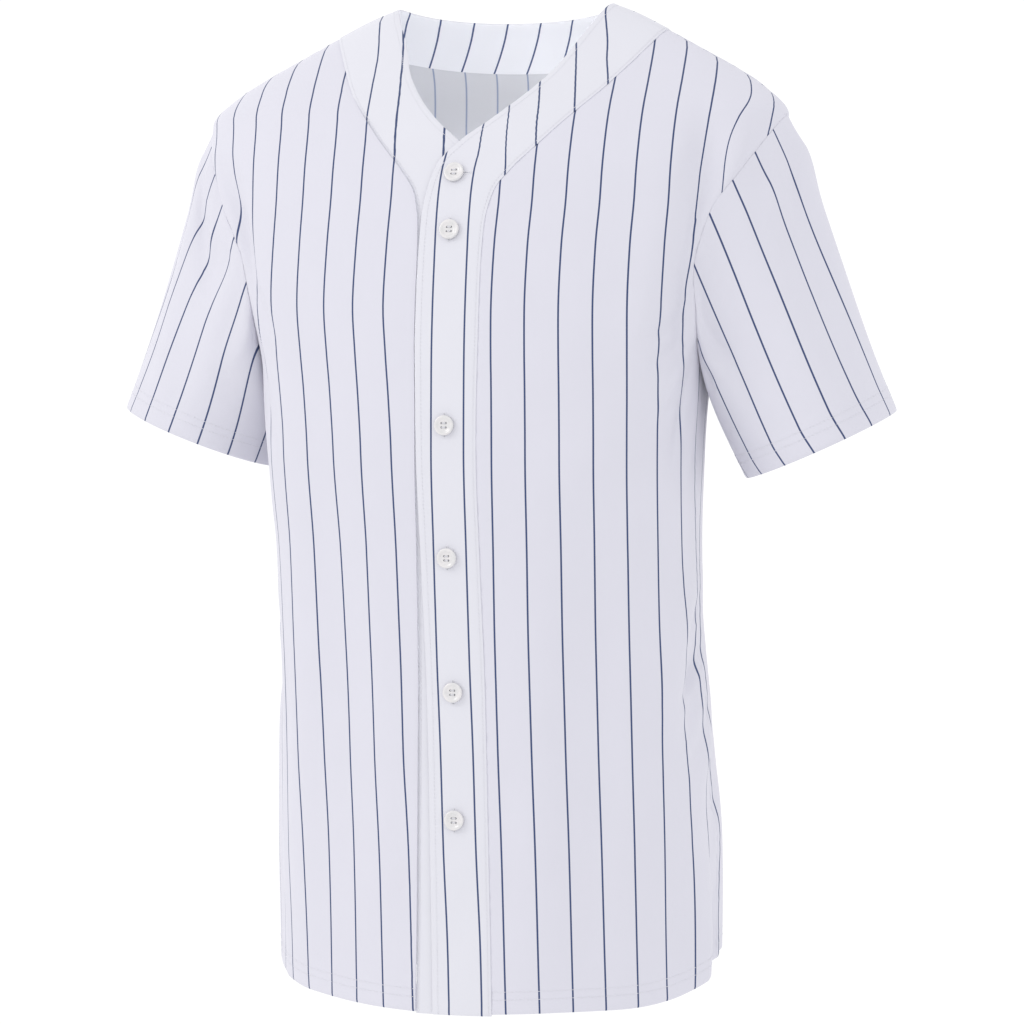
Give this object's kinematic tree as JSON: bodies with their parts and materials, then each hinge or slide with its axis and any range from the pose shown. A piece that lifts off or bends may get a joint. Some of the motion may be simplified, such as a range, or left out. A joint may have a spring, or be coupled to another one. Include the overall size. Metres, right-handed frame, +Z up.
{
  "type": "baseball jersey",
  "caption": "Short-sleeved button-front baseball jersey in white cloth with thin navy pinstripes, filled out as if worn, with an open neck, hem and cuffs.",
  "frame": {"origin": "midway between the neck points of the two shoulder seams, where shoulders hold the jersey up", "axes": "+Z up along the body, -Y out of the buttoned front, +X to the wearer's left"},
  "size_m": [0.6204, 0.2529, 0.7696],
  "materials": {
    "cloth": "smooth polyester knit with thin navy stripes",
    "button": "pearly polyester"
  },
  "bodies": {
    "root": {"front_right": "cloth", "front_left": "cloth", "back": "cloth", "sleeve_right": "cloth", "sleeve_left": "cloth", "band_right": "cloth", "band_left": "cloth", "band_back": "cloth", "button_1": "button", "button_2": "button", "button_3": "button", "button_4": "button", "button_5": "button", "button_6": "button"}
  },
  "joints": []
}
